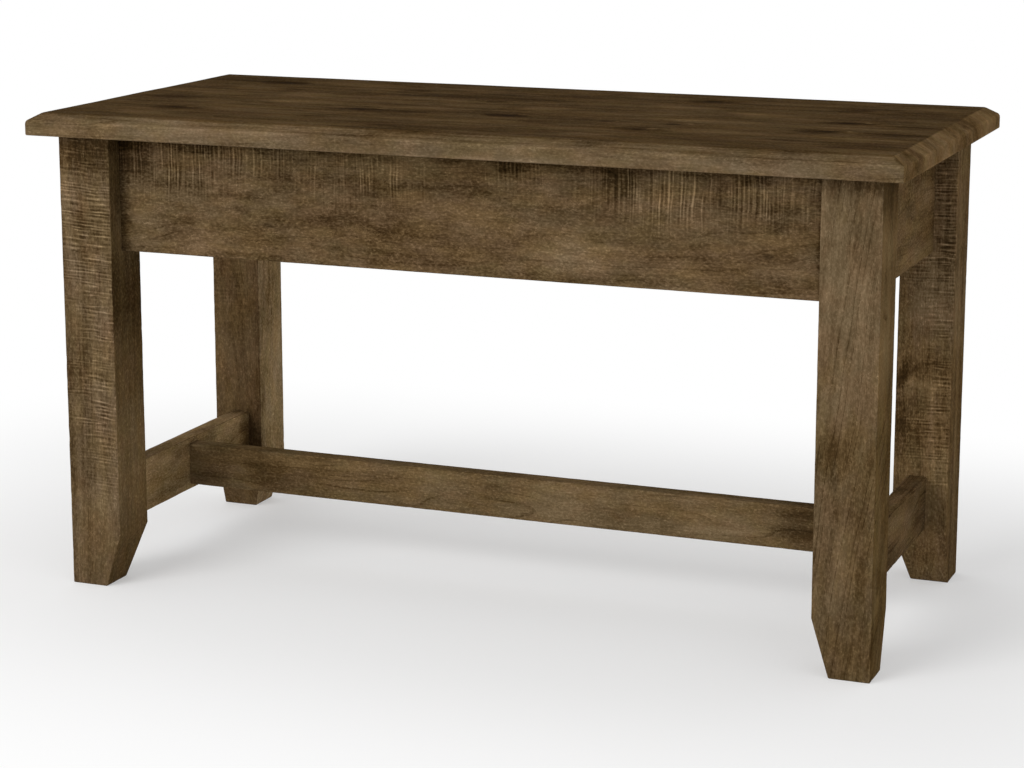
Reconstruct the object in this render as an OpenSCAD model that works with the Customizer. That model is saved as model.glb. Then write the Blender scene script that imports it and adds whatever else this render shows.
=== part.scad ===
// Solid wood bench for the foot of a bed. A bevelled seat of four edge-glued boards lies on four
// square legs whose feet taper on their two inner faces. Aprons and end stretchers are tenoned into
// the legs, and a long stretcher is tenoned into the end stretchers. Out of sight, screwed corner
// blocks and a cross rail brace the frame and hold the seat down.
// The origin is on the floor under the middle of the seat. +X runs along the seat to its right end,
// +Y points to its back and +Z points up.

/* [Overall] */
// Length of the seat from end to end
seat_len = 886; // [700:1:1200]
// Depth of the seat from front to back
seat_depth = 418; // [360:1:520]
// Height of the seat's upper face above the floor
seat_height = 488; // [400:1:560]
// How far the seat reaches out past the legs on every side
seat_overhang = 23.5; // [15:0.5:34]

/* [Seat] */
// Thickness of the seat
seat_th = 22.5; // [20:0.5:32]
// Width of the front board and of the back board; two equal boards fill the middle
outer_board_w = 104.5; // [92:0.5:130]
// Width of the bevel round the seat, seen from above
bevel_w = 13.8; // [8:0.2:20]
// How far the bevel drops below the upper face
bevel_drop = 8.4; // [5:0.2:12]
// Radius that rolls the bevel over into the upright edge
nose_r = 5; // [1:0.5:8]
// Radius that eases the bevel into the upper face
brow_r = 8; // [2:1:12]
// Radius of the seat's lower edge
lower_edge_r = 1.5; // [0.5:0.25:3]

/* [Legs] */
// Width of a leg's square section
leg_w = 57; // [52:0.5:70]
// Width of the square sole of a foot
foot_w = 39.5; // [30:0.5:48]
// Height at which the taper of a foot starts
foot_taper_h = 56; // [35:1:90]
// Radius of the long edges of a leg
leg_edge_r = 2; // [0.5:0.25:4]

/* [Aprons] */
// Height of the aprons
apron_h = 118; // [90:1:150]
// Thickness of the aprons
apron_th = 19; // [16:0.5:22]
// How far the front and back aprons lie behind the faces of the legs
apron_setback = 20.5; // [4:0.5:23]
// How far the end aprons lie behind the faces of the legs
end_apron_setback = 23; // [4:0.5:25]

/* [Stretchers] */
// Height of the end stretchers
end_stretcher_h = 56.5; // [48:0.5:80]
// Thickness of the end stretchers
end_stretcher_th = 19; // [16:0.5:24]
// How far the end stretchers lie behind the outer faces of the legs
end_stretcher_setback = 22.5; // [4:0.5:26]
// How far the end stretchers lie above the taper of the feet
end_stretcher_rise = 3; // [0:0.5:60]
// Height of the long stretcher, centred on the end stretchers
long_stretcher_h = 45; // [34:0.5:46]
// Thickness of the long stretcher
long_stretcher_th = 19; // [16:0.5:28]
// Radius of the long edges of the aprons and stretchers
board_edge_r = 1.25; // [0.5:0.25:3]

/* [Tenons] */
// Thickness of every tenon
tenon_th = 9.5; // [6:0.5:11]
// Wood above and below an apron's tenon
apron_shoulder = 12; // [6:0.5:20]
// Wood above and below a stretcher's tenon
stretcher_shoulder = 8; // [4:0.5:12]
// Wood left between the two apron mortises that meet inside a leg
mortise_web = 1.5; // [1:0.25:4]
// Length of an end stretcher's tenon
end_stretcher_tenon_len = 25; // [12:0.5:35]
// Length of the long stretcher's tenon
long_stretcher_tenon_len = 12; // [6:0.5:13]
// Room for glue on each side of a tenon in its mortise
glue_gap = 0.1; // [0.05:0.05:0.3]
// Room for glue past the end of a tenon
glue_pocket = 1; // [0.5:0.25:2]

/* [Corner blocks] */
// Thickness of a corner block
block_th = 20; // [18.5:0.5:26]
// Height of a corner block
block_h = 50; // [42:1:70]
// Gap between a corner block and the inner edge of its leg
block_gap = 1; // [0.5:0.25:4]
// Wood between the head of an apron screw and the apron
apron_screw_grip = 8; // [5:0.5:9]
// Wood between the head of a block's seat screw and the seat
block_screw_grip = 30; // [20:1:38]

/* [Cross rail] */
// Width of the flat rail under the middle of the seat
rail_w = 64; // [50:1:90]
// Thickness of the rail
rail_th = 19; // [16:0.5:25]
// Depth of the housings in the long aprons that take the rail's ends
rail_housing = 6; // [3:0.5:9]
// Length of the rail's screw slots, which let the seat move with the seasons
slot_len = 9; // [7:0.5:14]

/* [Screws] */
// Diameter of the screws
screw_d = 4.2; // [3.5:0.1:4.8]
// Diameter of the screw heads
head_d = 8.2; // [7.5:0.1:9]
// Height of the screw heads
head_h = 3; // [2:0.1:4]
// Length of the cross recess in a head
recess_len = 4; // [3:0.1:4.4]
// Width of the cross recess
recess_w = 0.9; // [0.5:0.1:1.4]
// Depth of the cross recess
recess_depth = 1.4; // [0.8:0.1:1.8]
// How deep a screw goes into an apron
apron_bite = 13; // [8:0.5:14]
// How deep a screw goes into the seat
seat_bite = 14; // [8:0.5:16]
// Room round a screw where it passes through a block or the rail
screw_play = 0.3; // [0.1:0.05:0.5]
// Room round the head of a screw in its counterbore
head_play = 0.5; // [0.2:0.1:1]
// Room between a screw and its pilot hole
pilot_gap = 0.05; // [0.02:0.01:0.1]

/* [Hidden] */

// Which way a corner, an end or a side lies from the middle
LEFT = -1;
RIGHT = 1;
FRONT = -1;
BACK = 1;

// Colours of the stained outside, the bare wood inside and the steel
seat_stain = "#5a4730";
leg_stain = "#695640";
apron_stain = "#5d4b35";
stretcher_stain = "#54432e";
bare_wood = "#b89a72";
steel = "#a9abad";

// A cut runs this far past the face that it leaves
past = 1;
arc_steps = 32;
// Number of flats in each rounding of the seat's edge
edge_flats = 6;

leg_h = seat_height - seat_th;
frame_len = seat_len - 2 * seat_overhang;
frame_depth = seat_depth - 2 * seat_overhang;
edge_h = seat_th - bevel_drop;
middle_board_w = seat_depth / 2 - outer_board_w;

apron_z = leg_h - apron_h;
apron_len = frame_len - 2 * leg_w;
end_apron_len = frame_depth - 2 * leg_w;
apron_inner = apron_setback + apron_th;
end_apron_inner = end_apron_setback + apron_th;
apron_tenon_y = apron_setback + apron_th / 2;
end_apron_tenon_x = end_apron_setback + apron_th / 2;
apron_tenon_h = apron_h - 2 * apron_shoulder;
// An apron's tenon stops short of the other apron's mortise
tenon_stop = tenon_th / 2 + glue_gap + mortise_web + glue_pocket;
apron_tenon_len = leg_w - end_apron_tenon_x - tenon_stop;
end_apron_tenon_len = leg_w - apron_tenon_y - tenon_stop;

end_stretcher_z = foot_taper_h + end_stretcher_rise;
end_stretcher_mid_z = end_stretcher_z + end_stretcher_h / 2;
end_stretcher_tenon_x = end_stretcher_setback + end_stretcher_th / 2;
end_stretcher_tenon_h = end_stretcher_h - 2 * stretcher_shoulder;
end_stretcher_inner_x = frame_len / 2 - end_stretcher_setback - end_stretcher_th;
long_stretcher_tenon_h = long_stretcher_h - 2 * stretcher_shoulder;

// A block is a board set across the corner at 45 degrees. Its near and far faces cross the inner
// faces of the aprons at these distances from the corner where those faces would meet.
block_near = (leg_w - end_apron_inner) + (leg_w - apron_inner) + block_gap * sqrt(2);
block_far = block_near + block_th * sqrt(2);
block_mid = (block_near + block_far) / 2;
block_z = leg_h - block_h;
block_screw_z = leg_h - block_h / 2;

rail_z = leg_h - rail_th;
rail_len = frame_depth - 2 * apron_inner + 2 * rail_housing;
// The rail meets only the inner part of the outer boards, so their screws stand midway in that part
outer_screw_y = (frame_depth / 2 - apron_inner + middle_board_w) / 2;

function unit(v) = v / norm(v);

// The corner p of an outline, rounded to the radius r between the sides that lead to a and to b.
// The arc is planed in narrow flats, so that it meets its neighbour in a straight mitre.
function rounded(a, p, b, r) = let(
    to_a = unit(a - p),
    to_b = unit(b - p),
    half = acos(to_a * to_b) / 2,
    turn = 180 - 2 * half,
    centre = p + unit(to_a + to_b) * r / sin(half),
    first = p + to_a * r / tan(half) - centre,
    last = p + to_b * r / tan(half) - centre
) [
    for (i = [0:edge_flats])
        centre + (first * sin(turn * (1 - i / edge_flats)) + last * sin(turn * i / edge_flats)) / sin(turn)
];

// Places what is modelled at the front left corner of the frame, with +X and +Y pointing inwards
// from the leg's outer edge, at any of the four corners
module at_corner(end, side) {
    mirror([end == RIGHT ? 1 : 0, 0, 0])
        mirror([0, side == BACK ? 1 : 0, 0])
            translate([-frame_len / 2, -frame_depth / 2, 0]) children();
}

// A rectangle centred on the origin whose corners have the radius r
module eased_rectangle(w, h, r) {
    square([w - 2 * r, h], center = true);
    square([w, h - 2 * r], center = true);
    for (x = [-1, 1], y = [-1, 1])
        translate([x * (w / 2 - r), y * (h / 2 - r)]) circle(r, $fn = arc_steps);
}

// A board along X or Y with its four long edges eased, standing on edge, centred on x and y
module board_along_x(len, th, h, r) {
    translate([-len / 2, 0, h / 2]) rotate([90, 0, 90]) linear_extrude(len) eased_rectangle(th, h, r);
}

module board_along_y(len, th, h, r) {
    rotate([0, 0, 90]) board_along_x(len, th, h, r);
}

// The seat's section across a width w, standing on its lower face
module seat_section(w) {
    foot = [-w / 2, 0];
    nose = [-w / 2, edge_h];
    brow = [-w / 2 + bevel_w, seat_th];
    left = concat(
        rounded([0, 0], foot, nose, lower_edge_r),
        rounded(foot, nose, brow, nose_r),
        rounded(nose, brow, [0, seat_th], brow_r)
    );
    right = [for (i = [len(left) - 1:-1:0]) [-left[i].x, left[i].y]];
    polygon(concat(left, right));
}

// The whole glued-up seat, bevelled on four sides, with mitred corners
module seat_blank() {
    translate([0, 0, leg_h]) intersection() {
        rotate([90, 0, 90]) translate([0, 0, -seat_len / 2]) linear_extrude(seat_len)
            seat_section(seat_depth);
        rotate([90, 0, 0]) translate([0, 0, -seat_depth / 2]) linear_extrude(seat_depth)
            seat_section(seat_len);
    }
}

// A pan-head screw standing point up, with the underside of its head at z = 0
module screw(len) {
    difference() {
        rotate_extrude($fn = arc_steps)
            polygon([
                [0, -head_h], [head_d / 2 - head_h / 2, -head_h], [head_d / 2, -head_h / 2],
                [head_d / 2, 0], [screw_d / 2, 0], [screw_d / 2, len - screw_d / 2], [0, len]
            ]);
        for (turn = [0, 90]) rotate([0, 0, turn])
            translate([-recess_len / 2, -recess_w / 2, -head_h - past])
                cube([recess_len, recess_w, recess_depth + past]);
    }
}

// The hole that a screw's shank goes through or bites into
module screw_hole(len, room) {
    translate([0, 0, -past]) cylinder(d = screw_d + 2 * room, h = len + past, $fn = arc_steps);
}

// Tenon that reaches back from x = 0 along -X, centred on y, standing on z = 0. With a gap and a
// pocket it is the mortise that takes this tenon.
module tenon(len, h, gap, pocket) {
    translate([-len - pocket, -tenon_th / 2 - gap, -gap])
        cube([len + pocket + past, tenon_th + 2 * gap, h + 2 * gap]);
}

// The three tenons that go into the leg at the front left corner
module apron_tenon(gap = 0, pocket = 0) {
    translate([leg_w, apron_tenon_y, apron_z + apron_shoulder])
        tenon(apron_tenon_len, apron_tenon_h, gap, pocket);
}

module end_apron_tenon(gap = 0, pocket = 0) {
    translate([end_apron_tenon_x, leg_w, apron_z + apron_shoulder]) rotate([0, 0, 90])
        tenon(end_apron_tenon_len, apron_tenon_h, gap, pocket);
}

module end_stretcher_tenon(gap = 0, pocket = 0) {
    translate([end_stretcher_tenon_x, leg_w, end_stretcher_z + stretcher_shoulder]) rotate([0, 0, 90])
        tenon(end_stretcher_tenon_len, end_stretcher_tenon_h, gap, pocket);
}

// The long stretcher's tenon at its left end
module long_stretcher_tenon(gap = 0, pocket = 0) {
    translate([-end_stretcher_inner_x, 0, end_stretcher_mid_z - long_stretcher_tenon_h / 2])
        tenon(long_stretcher_tenon_len, long_stretcher_tenon_h, gap, pocket);
}

// Where the screws go, at the front left corner: two from the block into the aprons, and one up
// through the block into the seat
module at_apron_screws() {
    translate([end_apron_inner + block_mid, apron_inner + apron_screw_grip, block_screw_z])
        rotate([90, 0, 0]) children();
    translate([end_apron_inner + apron_screw_grip, apron_inner + block_mid, block_screw_z])
        rotate([0, -90, 0]) children();
}

module at_block_seat_screw() {
    translate([end_apron_inner + block_mid / 2, apron_inner + block_mid / 2, leg_h - block_screw_grip])
        children();
}

// The four screws up through the rail, one into each board of the seat
module at_rail_seat_screws() {
    for (y = [-outer_screw_y, -middle_board_w / 2, middle_board_w / 2, outer_screw_y])
        translate([0, y, rail_z]) children();
}

module counterbore(depth) {
    translate([0, 0, -depth]) cylinder(d = head_d + 2 * head_play, h = depth, $fn = arc_steps);
}

// One board of the seat, from y_low to y_high, with pilot holes for the screws that reach it
module seat_board(y_low, y_high) {
    color(seat_stain) difference() {
        intersection() {
            seat_blank();
            translate([-seat_len / 2 - past, y_low, leg_h - past])
                cube([seat_len + 2 * past, y_high - y_low, seat_th + 2 * past]);
        }
        for (end = [LEFT, RIGHT], side = [FRONT, BACK]) at_corner(end, side) at_block_seat_screw()
            screw_hole(block_screw_grip + seat_bite + pilot_gap, pilot_gap);
        at_rail_seat_screws() screw_hole(rail_th + seat_bite + pilot_gap, pilot_gap);
    }
}

// A leg, with its foot tapered on the two faces that look inwards and a mortise for each tenon
module leg(end, side) {
    color(leg_stain) at_corner(end, side) difference() {
        translate([leg_w / 2, leg_w / 2, 0]) linear_extrude(leg_h)
            eased_rectangle(leg_w, leg_w, leg_edge_r);
        foot_taper();
        mirror([1, -1, 0]) foot_taper();
        apron_tenon(glue_gap, glue_pocket);
        end_apron_tenon(glue_gap, glue_pocket);
        end_stretcher_tenon(glue_gap, glue_pocket);
    }
}

// What the foot loses on the face that looks along +X
module foot_taper() {
    lean = (leg_w - foot_w) / foot_taper_h;
    translate([0, leg_w + past, 0]) rotate([90, 0, 0]) linear_extrude(leg_w + 2 * past)
        polygon([
            [foot_w - lean * past, -past], [leg_w + past, -past],
            [leg_w + past, foot_taper_h], [leg_w, foot_taper_h]
        ]);
}

module long_apron(side) {
    color(apron_stain) difference() {
        union() {
            translate([0, side * (frame_depth / 2 - apron_tenon_y), apron_z])
                board_along_x(apron_len, apron_th, apron_h, board_edge_r);
            for (end = [LEFT, RIGHT]) at_corner(end, side) apron_tenon();
        }
        rail_blank(glue_gap);
        for (end = [LEFT, RIGHT]) at_corner(end, side) at_apron_screws()
            screw_hole(apron_screw_grip + apron_bite + pilot_gap, pilot_gap);
    }
}

module end_apron(end) {
    color(apron_stain) difference() {
        union() {
            translate([end * (frame_len / 2 - end_apron_tenon_x), 0, apron_z])
                board_along_y(end_apron_len, apron_th, apron_h, board_edge_r);
            for (side = [FRONT, BACK]) at_corner(end, side) end_apron_tenon();
        }
        for (side = [FRONT, BACK]) at_corner(end, side) at_apron_screws()
            screw_hole(apron_screw_grip + apron_bite + pilot_gap, pilot_gap);
    }
}

module end_stretcher(end) {
    color(stretcher_stain) difference() {
        union() {
            translate([end * (frame_len / 2 - end_stretcher_tenon_x), 0, end_stretcher_z])
                board_along_y(end_apron_len, end_stretcher_th, end_stretcher_h, board_edge_r);
            for (side = [FRONT, BACK]) at_corner(end, side) end_stretcher_tenon();
        }
        mirror([end == RIGHT ? 1 : 0, 0, 0]) long_stretcher_tenon(glue_gap, glue_pocket);
    }
}

module long_stretcher() {
    color(stretcher_stain) {
        translate([0, 0, end_stretcher_mid_z - long_stretcher_h / 2])
            board_along_x(2 * end_stretcher_inner_x, long_stretcher_th, long_stretcher_h, board_edge_r);
        long_stretcher_tenon();
        mirror([1, 0, 0]) long_stretcher_tenon();
    }
}

// A block glued into the corner between two aprons, with its screw holes
module corner_block(end, side) {
    color(bare_wood) at_corner(end, side) difference() {
        translate([end_apron_inner, apron_inner, block_z]) linear_extrude(block_h)
            polygon([[0, block_near], [block_near, 0], [block_far, 0], [0, block_far]]);
        at_apron_screws() {
            screw_hole(apron_screw_grip + past, screw_play);
            counterbore(block_far);
        }
        at_block_seat_screw() {
            screw_hole(block_screw_grip + past, screw_play);
            counterbore(block_h);
        }
    }
}

// The rail laid flat under the seat, whose ends are housed in the long aprons. With a gap it is the
// space that the housings need.
module rail_blank(gap = 0) {
    translate([-rail_w / 2 - gap, -rail_len / 2 - gap, rail_z - gap])
        cube([rail_w + 2 * gap, rail_len + 2 * gap, gap > 0 ? rail_th + gap + past : rail_th]);
}

module cross_rail() {
    color(bare_wood) difference() {
        rail_blank();
        at_rail_seat_screws() translate([0, 0, -past]) linear_extrude(rail_th + 2 * past) {
            slot_w = screw_d + 2 * screw_play;
            square([slot_w, slot_len - slot_w], center = true);
            for (y = [-1, 1]) translate([0, y * (slot_len - slot_w) / 2])
                circle(d = slot_w, $fn = arc_steps);
        }
    }
}

module apron_screws() {
    color(steel) for (end = [LEFT, RIGHT], side = [FRONT, BACK]) at_corner(end, side)
        at_apron_screws() screw(apron_screw_grip + apron_bite);
}

module block_seat_screws() {
    color(steel) for (end = [LEFT, RIGHT], side = [FRONT, BACK]) at_corner(end, side)
        at_block_seat_screw() screw(block_screw_grip + seat_bite);
}

module rail_seat_screws() {
    color(steel) at_rail_seat_screws() screw(rail_th + seat_bite);
}

seat_board(-seat_depth / 2, -middle_board_w);  // seat_board_front
seat_board(-middle_board_w, 0);  // seat_board_front_middle
seat_board(0, middle_board_w);  // seat_board_back_middle
seat_board(middle_board_w, seat_depth / 2);  // seat_board_back
leg(LEFT, FRONT);  // leg_front_left
leg(RIGHT, FRONT);  // leg_front_right
leg(LEFT, BACK);  // leg_back_left
leg(RIGHT, BACK);  // leg_back_right
long_apron(FRONT);  // apron_front
long_apron(BACK);  // apron_back
end_apron(LEFT);  // apron_left
end_apron(RIGHT);  // apron_right
end_stretcher(LEFT);  // end_stretcher_left
end_stretcher(RIGHT);  // end_stretcher_right
long_stretcher();
corner_block(LEFT, FRONT);  // corner_block_front_left
corner_block(RIGHT, FRONT);  // corner_block_front_right
corner_block(LEFT, BACK);  // corner_block_back_left
corner_block(RIGHT, BACK);  // corner_block_back_right
cross_rail();
apron_screws();
block_seat_screws();
rail_seat_screws();
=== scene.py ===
import math

import bpy
import numpy as np
from mathutils import Matrix, Vector, noise


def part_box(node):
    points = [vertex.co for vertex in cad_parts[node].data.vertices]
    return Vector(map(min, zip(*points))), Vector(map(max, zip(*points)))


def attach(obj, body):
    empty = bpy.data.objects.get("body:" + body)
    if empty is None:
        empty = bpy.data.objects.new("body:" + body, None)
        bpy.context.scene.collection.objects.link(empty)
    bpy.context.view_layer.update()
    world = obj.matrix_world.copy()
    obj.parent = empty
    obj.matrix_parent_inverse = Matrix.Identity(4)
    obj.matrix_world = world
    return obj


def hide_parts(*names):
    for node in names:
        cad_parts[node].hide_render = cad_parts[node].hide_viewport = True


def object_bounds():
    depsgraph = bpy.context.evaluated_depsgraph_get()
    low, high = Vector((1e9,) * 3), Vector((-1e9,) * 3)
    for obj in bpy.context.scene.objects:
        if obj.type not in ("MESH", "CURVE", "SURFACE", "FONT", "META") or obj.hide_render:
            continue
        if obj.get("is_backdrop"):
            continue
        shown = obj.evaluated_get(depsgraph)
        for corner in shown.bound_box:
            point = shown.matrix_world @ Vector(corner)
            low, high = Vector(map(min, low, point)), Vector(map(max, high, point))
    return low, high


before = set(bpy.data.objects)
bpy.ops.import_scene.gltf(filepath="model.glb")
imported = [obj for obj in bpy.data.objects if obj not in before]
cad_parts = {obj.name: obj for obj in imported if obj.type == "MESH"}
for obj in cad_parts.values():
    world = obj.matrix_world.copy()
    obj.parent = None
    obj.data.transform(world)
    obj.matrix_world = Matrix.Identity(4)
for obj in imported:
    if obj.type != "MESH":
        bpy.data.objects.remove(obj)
cad_low, cad_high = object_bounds()

# Legs
# Four legs cut square from solid hardwood and stained a weathered brown. The band saw's marks are left
# on their front and back faces, their long arrises are eased and worn, and each foot tapers on the two
# faces that look inwards. They are mortised for the aprons and the end stretchers.
MM = 0.001
FOOT_W = 39.5 * MM
FOOT_TAPER_H = 56 * MM
TAPER_CREASE = 1.2 * MM
LEG_EDGE_R = 1.5 * MM

# A mesh is ruled close together along its rounded arrises and a step apart everywhere else
LEG_STEP = 4 * MM
LEG_FACE_STEP = 7 * MM
ARRIS_LINES = [0, 0.4 * MM, 0.9 * MM, 1.6 * MM, 3 * MM, 6 * MM]

# Use rubs the arrises down by uneven shares of their radius, nicks them and polishes them in patches,
# and the faces sank a little as the wood dried
LONG_RUB = 0.35
LONG_RUB_LEN = 26 * MM
SHORT_RUB = 0.25
SHORT_RUB_LEN = 7 * MM
NICK = 1.6
NICK_FROM = 0.42
NICK_LEN = 9 * MM
POLISH_W = 3 * MM
POLISH_LEN = 18 * MM
HOLLOW = 0.22 * MM
HOLLOW_LEN = 70 * MM

# Far enough out for a side to keep its arrises, and long enough to divide by
OUT_OF_REACH = 1.0
NO_LENGTH = 1e-9

# How far apart in the noise, in its own units, the next seed's wear lies
SEED_STEPS = (7.3, 3.1, 5.7)


def grid_lines(low, high, step, at_low=(0,), at_high=(0,)):
    """Lines ruled across a board: some close to the arrises at its low and high side, the rest a step
    apart."""
    first = [low + offset for offset in at_low]
    last = [high - offset for offset in reversed(at_high)]
    count = max(1, round((last[0] - first[-1]) / step))
    gap = (last[0] - first[-1]) / count
    return first + [first[-1] + gap * i for i in range(1, count)] + last


def closed_grid(*lines):
    """Corner points and quads of a closed block, whose six sides are ruled along the three lists of
    lines."""
    number = {}
    points = []

    def corner(place):
        if place not in number:
            number[place] = len(points)
            points.append([lines[axis][place[axis]] for axis in range(3)])
        return number[place]

    quads = []
    for axis in range(3):
        right, up = (axis + 1) % 3, (axis + 2) % 3
        for side in (0, len(lines[axis]) - 1):
            for i in range(len(lines[right]) - 1):
                for j in range(len(lines[up]) - 1):
                    quad = []
                    for di, dj in ((0, 0), (1, 0), (1, 1), (0, 1)):
                        place = [side] * 3
                        place[right] = i + di
                        place[up] = j + dj
                        quad.append(corner(tuple(place)))
                    quads.append(quad if side else quad[::-1])
    return np.array(points), quads


def chance(points, size, seed):
    """Smooth random values from about -1 to 1, one per point, that change over the given size."""
    shift = Vector([seed * step for step in SEED_STEPS])
    return np.array([noise.noise(Vector(point) / size + shift) for point in points])


def worn_block(points, low, high, radius, seed, sound=()):
    """Eases the arrises of a block, unevenly, as use does, and leaves its faces a little hollow. The
    sides in sound, such as "-x", lie against another board and stay as they were cut. Also returns how
    worn each point is, from 0 to 1."""
    low, high = np.array(low, float), np.array(high, float)
    for side in sound:
        axis = "xyz".index(side[1])
        if side[0] == "-":
            low[axis] -= OUT_OF_REACH
        else:
            high[axis] += OUT_OF_REACH
    rub = 1 + LONG_RUB * chance(points, LONG_RUB_LEN, seed)
    rub += SHORT_RUB * chance(points, SHORT_RUB_LEN, seed + 1)
    nick = np.clip(chance(points, NICK_LEN, seed + 2) - NICK_FROM, 0, 1)
    r = (radius * (rub + NICK * nick))[:, None]
    inner = np.clip(points, low + r, high - r)
    off = points - inner
    length = np.maximum(np.linalg.norm(off, axis=1)[:, None], NO_LENGTH)
    eased = inner + off / length * np.minimum(r, length)
    hollow = HOLLOW * (0.5 + 0.5 * chance(points, HOLLOW_LEN, seed + 3))
    for axis in range(3):
        eased[:, axis] += np.where(np.isclose(points[:, axis], low[axis]), hollow, 0)
        eased[:, axis] -= np.where(np.isclose(points[:, axis], high[axis]), hollow, 0)
    to_side = np.minimum(np.abs(points - low), np.abs(points - high))
    to_arris = np.sort(to_side, axis=1)[:, 1]
    patchy = np.clip(0.55 + 0.9 * chance(points, POLISH_LEN, seed + 4), 0, 1)
    return eased, np.exp(-(to_arris / POLISH_W) ** 2) * patchy


def make_piece(node, points, quads, wear, finish, crease=42):
    """Makes the mesh object that stands for a CAD node, and sets what it rides on and its finish. Faces
    that meet at more than crease degrees keep a hard edge."""
    mesh = bpy.data.meshes.new("stained_" + node)
    mesh.from_pydata([tuple(point) for point in points], [], quads)
    mesh.shade_smooth()
    mesh.set_sharp_from_angle(angle=math.radians(crease))
    mesh.attributes.new("wear", "FLOAT", "POINT").data.foreach_set("value", wear.astype(np.float32))
    mesh.materials.append(finish)
    piece = bpy.data.objects.new("stained_" + node, mesh)
    bpy.context.scene.collection.objects.link(piece)
    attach(piece, "root")
    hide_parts(node)


def colour(code):
    """A colour written as #rrggbb, as the shader wants it."""
    parts = [int(code[i:i + 2], 16) / 255 for i in (1, 3, 5)]
    return [((c + 0.055) / 1.055) ** 2.4 if c > 0.04045 else c / 12.92 for c in parts] + [1.0]


class Finish:
    """One material, laid up from nodes."""

    def __init__(self, name):
        self.material = bpy.data.materials.new(name)
        self.material.use_nodes = True
        self.tree = self.material.node_tree
        self.shader = self.tree.nodes["Principled BSDF"]

    def lay(self, kind, inputs, output=0, **settings):
        """Lays one node, with its inputs linked or set, and returns one of its outputs."""
        node = self.tree.nodes.new("ShaderNode" + kind)
        for key, value in settings.items():
            setattr(node, key, value)
        for key, value in inputs.items():
            if isinstance(value, bpy.types.NodeSocket):
                self.tree.links.new(value, node.inputs[key])
            else:
                node.inputs[key].default_value = value
        return node.outputs[output]

    def coat(self, shade, rough, bump):
        """Links the colour, the roughness and the bump to the shader."""
        self.tree.links.new(shade, self.shader.inputs["Base Color"])
        self.tree.links.new(rough, self.shader.inputs["Roughness"])
        self.tree.links.new(bump, self.shader.inputs["Normal"])

    def math(self, operation, a, b=0.0):
        """One step of arithmetic on values. The next two are short for the commonest steps."""
        return self.lay("Math", {0: a, 1: b}, operation=operation)

    def times(self, a, b):
        return self.math("MULTIPLY", a, b)

    def plus(self, *values):
        total = values[0]
        for value in values[1:]:
            total = self.math("ADD", total, value)
        return total

    def vector(self, operation, a, b=(0, 0, 0), output=0):
        return self.lay("VectorMath", {0: a, 1: b}, output, operation=operation)

    def split(self, vector):
        """The three parts of a place: along the grain, to the right of it and up from it."""
        return self.lay("SeparateXYZ", {0: vector}).node.outputs[:3]

    def cloud(self, vector, sizes, detail=2.0, roughness=0.5, output=0):
        """Soft random patches of the given sizes in mm, round a middle of 0.5."""
        scaled = self.vector("MULTIPLY", vector, [1 / size for size in sizes])
        inputs = {"Vector": scaled, "Scale": 1.0, "Detail": detail, "Roughness": roughness}
        return self.lay("TexNoise", inputs, output)

    def lines(self, value, size, detail=2.0, roughness=0.5):
        """Random bands about size mm wide, across the direction in which value grows."""
        inputs = {"W": self.times(value, 1 / size), "Scale": 1.0, "Detail": detail, "Roughness": roughness}
        return self.lay("TexNoise", inputs, noise_dimensions="1D")

    def above(self, value, low, high):
        """0 below low, 1 above high and smooth between them."""
        inputs = {"Value": value, "From Min": low, "From Max": high}
        return self.lay("MapRange", inputs, interpolation_type="SMOOTHSTEP")

    def facing(self, normal, direction, low, high):
        """1 where the surface looks along the direction or against it, and 0 where it looks elsewhere."""
        towards = self.vector("DOT_PRODUCT", normal, direction, 1)
        return self.above(self.math("ABSOLUTE", towards), low, high)

    def swing(self, value, share):
        """Turns a value round 0.5 into a share of change round 0."""
        return self.times(self.math("SUBTRACT", value, 0.5), share)

    def lean_light(self, value, share):
        """Makes a change round 0 stronger where it is light and weaker where it is dark."""
        return self.plus(value, self.times(self.math("ABSOLUTE", value), share))

    def blend(self, factor, a, b, how="MIX"):
        return self.lay("Mix", {0: factor, 6: a, 7: b}, 2, data_type="RGBA", blend_type=how)

    def tint(self, shade, by):
        """Multiplies a colour by another."""
        return self.blend(1.0, shade, by, "MULTIPLY")

    def shades(self, value, stops):
        """Turns a value into a colour, by stops in rising order."""
        ramp = self.lay("ValToRGB", {0: value}).node
        for i, (place, shade) in enumerate(stops):
            element = ramp.color_ramp.elements[i] if i < 2 else ramp.color_ramp.elements.new(place)
            element.position = place
            element.color = shade
        return ramp.outputs[0]


# How a board's grain is turned to run along X, for grain along each axis
GRAIN_TURN = {
    "x": (0, 0, 0),
    "y": (0, 0, math.radians(-90)),
    "z": (0, math.radians(90), 0),
}
# A knot is longer along the grain. It parts the fibres round it, and is darkest at its core.
KNOT_STRETCH = 0.6
KNOT_PARTING = -0.22
KNOT_CORE = 0.3
KNOT_RIM = 1.4
KNOT_BROWN = "#20160b"
# A spot fades out between these shares of its reach
SPOT_CORE = 0.25
SPOT_RIM = 1.5


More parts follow.
